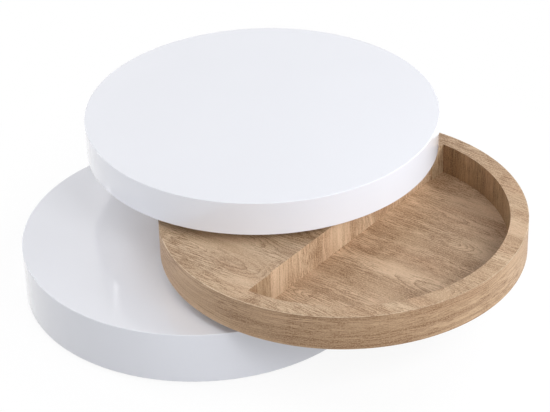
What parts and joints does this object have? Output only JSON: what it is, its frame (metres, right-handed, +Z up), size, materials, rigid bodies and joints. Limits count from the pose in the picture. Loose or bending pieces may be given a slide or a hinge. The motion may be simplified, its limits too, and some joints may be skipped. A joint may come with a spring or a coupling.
{
  "type": "swivel coffee table",
  "caption": "Low round coffee table of stacked slabs that swivel about one off-centre upright axis, with a half-moon tray sunk in the oak-look slab.",
  "frame": {"origin": "on the floor, under the middle of the bounding box of the rest pose", "axes": "+Z up; +X to the right and +Y away from a viewer who stands where the picture was taken"},
  "size_m": [1.1112, 1.0808, 0.322],
  "materials": {
    "gloss_lacquer": "seamless high-gloss lacquer over board",
    "oak_decor": "oak-look decor foil, fine matt grain",
    "oak_edge": "oak-look edging, grain along the edge",
    "raw_board": "plain board",
    "white_board": "thin white-faced board",
    "ring_metal": "mill finish",
    "liner_plastic": "smooth slide liner",
    "glide_plastic": "moulded, slightly rough"
  },
  "bodies": {
    "base": {"base_shell": "gloss_lacquer", "base_bottom_panel": "white_board", "base_ribs": "raw_board", "base_swivel_board": "raw_board", "base_glides": "glide_plastic", "lower_slide_liner": "liner_plastic", "lower_retaining_ring": "ring_metal"},
    "middle": {"lower_swivel_collar": "ring_metal", "middle_deck": "oak_decor", "middle_edge_band": "oak_edge", "middle_frame_ring": "raw_board", "tray_wall_board": "raw_board", "tray_wall_facing": "oak_edge", "tray_band": "oak_edge", "middle_floor_panel": "oak_decor", "middle_ribs": "raw_board", "middle_swivel_block": "raw_board", "upper_slide_liner": "liner_plastic", "upper_retaining_ring": "ring_metal"},
    "top": {"upper_swivel_collar": "ring_metal", "top_shell": "gloss_lacquer", "top_bottom_panel": "white_board", "top_ribs": "raw_board", "top_swivel_board": "raw_board"}
  },
  "joints": [
    {"name": "middle_swivel", "type": "hinge", "parent": "base", "child": "middle", "pos_m": [0.0186, -0.03142, 0.134], "axis": [0, 0, 1], "continuous": true},
    {"name": "top_swivel", "type": "hinge", "parent": "middle", "child": "top", "pos_m": [0.0186, -0.03142, 0.233], "axis": [0, 0, 1], "continuous": true}
  ]
}
